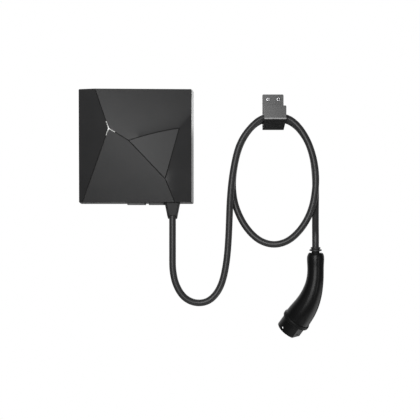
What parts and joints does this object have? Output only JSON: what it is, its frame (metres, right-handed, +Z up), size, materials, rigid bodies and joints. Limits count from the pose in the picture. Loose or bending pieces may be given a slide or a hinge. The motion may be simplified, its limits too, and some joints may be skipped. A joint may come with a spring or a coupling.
{
  "type": "ev wallbox",
  "caption": "Wall-mounted vehicle charger: faceted square box with a light guide, tethered cable looped over a sheet hook, and a curved vehicle connector.",
  "frame": {"origin": "centre of the box's four wall holes, on the wall", "axes": "+X to the right seen from the room, +Y into the wall, +Z up"},
  "size_m": [0.5933, 0.1251, 0.6035],
  "materials": {
    "housing": "fine grained",
    "cover": "satin charcoal",
    "panel": "satin",
    "light": "milky",
    "seal": "soft",
    "boot": "matte",
    "cable": "satin jacket",
    "board": "solder mask",
    "component": "moulded",
    "terminal": "moulded",
    "fastener": "zinc plated",
    "hook": "satin grey",
    "grip": "satin black",
    "carrier": "moulded",
    "contact": "silver plated"
  },
  "bodies": {
    "root": {"rear_housing": "housing", "cover_seal": "seal", "front_cover": "cover", "reader_panel": "panel", "light_guide": "light", "cover_screws": "fastener", "light_board": "board", "reader_board": "board", "small_board_screws": "fastener", "main_board": "board", "board_screws": "fastener", "power_relays": "component", "supply_terminal": "terminal", "outlet_terminal": "terminal", "current_sensor": "component", "power_supply": "component", "control_module": "board", "supply_grommet": "seal", "data_grommet": "seal", "strain_relief": "boot", "cable_tail": "cable", "cable_clamp": "component", "clamp_screws": "fastener", "charging_cable": "cable", "hook_bracket": "hook", "hook_screws": "fastener", "cable_grommet": "boot", "connector_handle": "grip", "connector_collar": "grip", "connector_nose": "grip", "contact_carrier": "carrier", "power_contacts": "contact", "pilot_contacts": "contact"}
  },
  "joints": []
}
